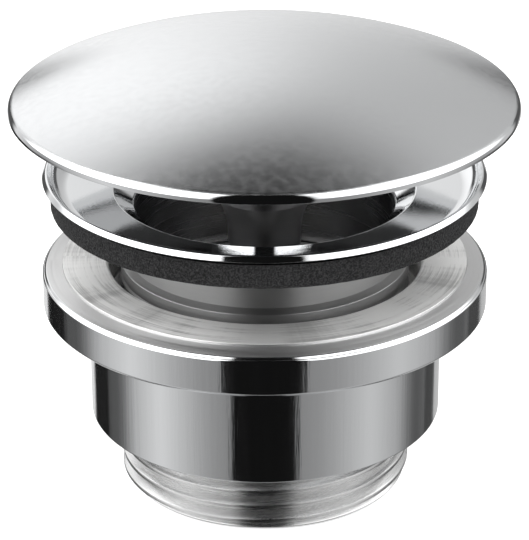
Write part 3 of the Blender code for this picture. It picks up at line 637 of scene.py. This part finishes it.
def stemCorners():
    # a swelling waist, a plain neck and a quarter-ellipse flare up to the disc
    waist, neck, neckTop = stemShape["waist"], stemShape["neck"], stemShape["neckTop"]
    foot, bore, swell = stemShape["foot"], stemShape["bore"], stemShape["swellRadius"]
    reach = math.degrees(math.acos(1.0 - (neck - waist) / swell))
    lower = arcCorners(swell, stemShape["swellBottom"], 180.0, 180.0 - reach, 16, waist + swell)
    lower.append((neck, stemShape["polishFrom"]))
    flare = []
    count = 20
    for step in range(count + 1):
        turn = math.radians(90.0 * step / count)
        radius = neck + (stemShape["flareRadius"] - neck) * (1.0 - math.cos(turn))
        flare.append((radius, neckTop + (stemShape["flareTop"] - neckTop) * math.sin(turn)))
    disc, discTop = stemShape["discRadius"], stemShape["discTop"]
    collar, collarTop = stemShape["collarRadius"], stemShape["collarTop"]
    upper = [(disc, stemShape["flareTop"], 0.15), (disc, discTop, 0.3), (collar, discTop)]
    upper += [(collar, collarTop), (bore, collarTop)]
    return [(bore, foot), (waist, foot, 0.3)] + lower + flare + upper


def stemFinish(radius, height, normal):
    # painted shade on the turned foot, polished neck and flare
    return 0 if height < stemShape["polishFrom"] else 1


stem = turnedPiece("trumpetStem", stemCorners(), [paintedShadeStem, chrome], stemFinish)
place(stem, "plug", "chrome", "plug_stem")

sealShape = {
    "boreRadius": 17.4,
    "lipRadius": 23.1,
    "top": 55.48,
}
sealBore, sealLip, sealTop = sealShape["boreRadius"], sealShape["lipRadius"], sealShape["top"]
plugSeal = turnedPiece("plugSeal", [
    (sealBore, 54.38, 0.2), (22.7, 53.33, 0.2), (sealLip, 53.43, 0.15), (sealLip, 54.88, 0.3),
    (22.2, sealTop, 0.3), (sealBore, sealTop)], [rubber])
place(plugSeal, "plug", "rubber", "plug_seal")
print("plug done")


# Inner nodes keep their CAD shape and take their finish

innerFinishes = {
    "bridge": nickel,
    "cartridge_housing": brass,
    "cartridge_washer": fibre,
    "cartridge_nut": brass,
    "cartridge_end_cap": brass,
    "follower_pin_left": steel,
    "follower_pin_right": steel,
    "spindle_o_ring": rubber,
    "spring": steel,
    "cam_sleeve": acetal,
    "thrust_washer": steel,
    "spindle": steel,
    "spindle_clip": steel,
}
for nodeName, finish in innerFinishes.items():
    mesh = nodes[nodeName].data
    mesh.materials.clear()
    mesh.materials.append(finish)
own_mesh(nodes["spring"])


# Studio: a world of soft panels round the object, painted by direction

studio = {
    "room": 0.35,
    "background": 1.0,
    # azimuth, half width and blur, lowest and highest elevation and blur, brightness
    # azimuth 0 faces the camera, left is negative, and each panel covers the ones before it
    "panels": {
        "topFlag": (0.0, 400.0, 1.0, 45.0, 120.0, 30.0, 0.02),
        "backdrop": (180.0, 62.0, 30.0, -90.0, 51.0, 42.0, 0.84),
        "backdropLeft": (-158.0, 20.0, 34.0, -20.0, 49.0, 42.0, 1.50),
        "backdropRight": (152.0, 18.0, 26.0, -90.0, 51.0, 42.0, 0.66),
        "boxLeft": (-74.0, 50.0, 16.0, 8.0, 64.0, 12.0, 3.2),
        "boxRight": (74.0, 50.0, 16.0, 8.0, 64.0, 12.0, 2.7),
        "sweepLeft": (-73.0, 18.0, 66.0, -90.0, 4.0, 8.0, 1.05),
        "sweepRight": (73.0, 18.0, 66.0, -90.0, 4.0, 8.0, 0.86),
        "lowBandLeft": (-153.0, 14.0, 8.0, -14.0, 10.0, 4.0, 0.12),
        "lowBandRight": (153.0, 14.0, 8.0, -14.0, 10.0, 4.0, 0.12),
        "shadeLeft": (-120.0, 16.0, 22.0, -90.0, -13.0, 5.0, 0.12),
        "shadeRight": (120.0, 14.0, 22.0, -90.0, -13.0, 5.0, 0.13),
        "gapLeft": (-139.5, 14.0, 2.5, -90.0, -13.0, 5.0, 0.014),
        "gapRight": (139.0, 9.7, 2.5, -90.0, -13.0, 5.0, 0.08),
        "frontFlag": (-0.6, 21.8, 1.6, -90.0, 120.0, 1.0, 0.008),
    },
}


def makeStudio():
    world = bpy.data.worlds.new("studio")
    bpy.context.scene.world = world
    world.use_nodes = True
    tree = world.node_tree
    tree.nodes.clear()
    parts = addNode(tree, "ShaderNodeSeparateXYZ")
    feed(tree, parts.inputs[0], addNode(tree, "ShaderNodeTexCoord").outputs["Generated"])
    x, y, z = parts.outputs
    azimuth = maths(tree, "DEGREES", maths(tree, "ARCTAN2", x, maths(tree, "MULTIPLY", y, -1.0)))
    square = maths(tree, "ADD", maths(tree, "MULTIPLY", x, x), maths(tree, "MULTIPLY", y, y))
    flat = maths(tree, "SQRT", square)
    elevation = maths(tree, "DEGREES", maths(tree, "ARCTAN2", z, flat))
    level = studio["room"]
    for name, (middle, half, sideBlur, low, high, blur, brightness) in studio["panels"].items():
        turned = maths(tree, "SUBTRACT", azimuth, middle)
        away = maths(tree, "ABSOLUTE", maths(tree, "WRAP", turned, 180.0, -180.0))
        side = between(tree, away, half - sideBlur / 2, half + sideBlur / 2, 1.0, 0.0)
        above = between(tree, elevation, low - blur / 2, low + blur / 2)
        below = between(tree, elevation, high - blur / 2, high + blur / 2, 1.0, 0.0)
        cover = maths(tree, "MULTIPLY", side, maths(tree, "MULTIPLY", above, below))
        mix = addNode(tree, "ShaderNodeMix", data_type="FLOAT", label=name)
        feed(tree, mix.inputs[0], cover)
        feed(tree, mix.inputs[2], level)
        mix.inputs[3].default_value = brightness
        level = mix.outputs[0]
    seen = addNode(tree, "ShaderNodeLightPath").outputs["Is Camera Ray"]
    light = addNode(tree, "ShaderNodeMix", data_type="FLOAT", label="background")
    feed(tree, light.inputs[0], seen)
    feed(tree, light.inputs[2], level)
    light.inputs[3].default_value = studio["background"]
    background = addNode(tree, "ShaderNodeBackground")
    feed(tree, background.inputs["Strength"], light.outputs[0])
    output = addNode(tree, "ShaderNodeOutputWorld")
    feed(tree, output.inputs["Surface"], background.outputs[0])


makeStudio()

floorShape = {"radius": 1.6, "drop": 0.0002, "colour": (0.86, 0.86, 0.86), "glow": 0.62}


def makeFloor():
    made, tree, shader = newMaterial("paleFloor", floorShape["colour"], 0.0, 0.9)
    spot = addNode(tree, "ShaderNodeTexCoord").outputs["Object"]
    grain = noiseOf(tree, spot, 30.0)
    feed(tree, shader.inputs["Roughness"], between(tree, grain, 0.3, 0.7, 0.85, 0.95))
    shader.inputs["Specular IOR Level"].default_value = 0.0
    shader.inputs["Emission Color"].default_value = (1.0, 1.0, 1.0, 1.0)
    shader.inputs["Emission Strength"].default_value = floorShape["glow"]
    bm = bmesh.new()
    bmesh.ops.create_circle(bm, cap_ends=True, segments=96, radius=floorShape["radius"])
    bmesh.ops.translate(bm, verts=bm.verts, vec=(0, 0, -floorShape["drop"]))
    floor = toObject("floor", bm, [made])
    floor.visible_glossy = False


makeFloor()


# Camera at the photograph's angle

cameraShape = {
    "from": (0.0, -0.35515, 0.1938),
    "to": (0.0, 0.0, 0.0299),
    "lens": 181.6,
    "shift": (-0.0006, 0.01296),
    "roll": -0.21,
}


def makeCamera():
    data = bpy.data.cameras.new("camera")
    data.lens = cameraShape["lens"]
    data.sensor_width = 36.0
    data.shift_x, data.shift_y = cameraShape["shift"]
    data.clip_start = 0.01
    camera = bpy.data.objects.new("camera", data)
    bpy.context.scene.collection.objects.link(camera)
    start = Vector(cameraShape["from"])
    camera.location = start
    aim = (Vector(cameraShape["to"]) - start).to_track_quat("-Z", "Y")
    camera.rotation_euler = (aim @ Quaternion((0, 0, 1), math.radians(cameraShape["roll"]))).to_euler()
    bpy.context.scene.camera = camera


makeCamera()
bpy.context.scene.view_settings.view_transform = "Standard"
print("studio and camera done")
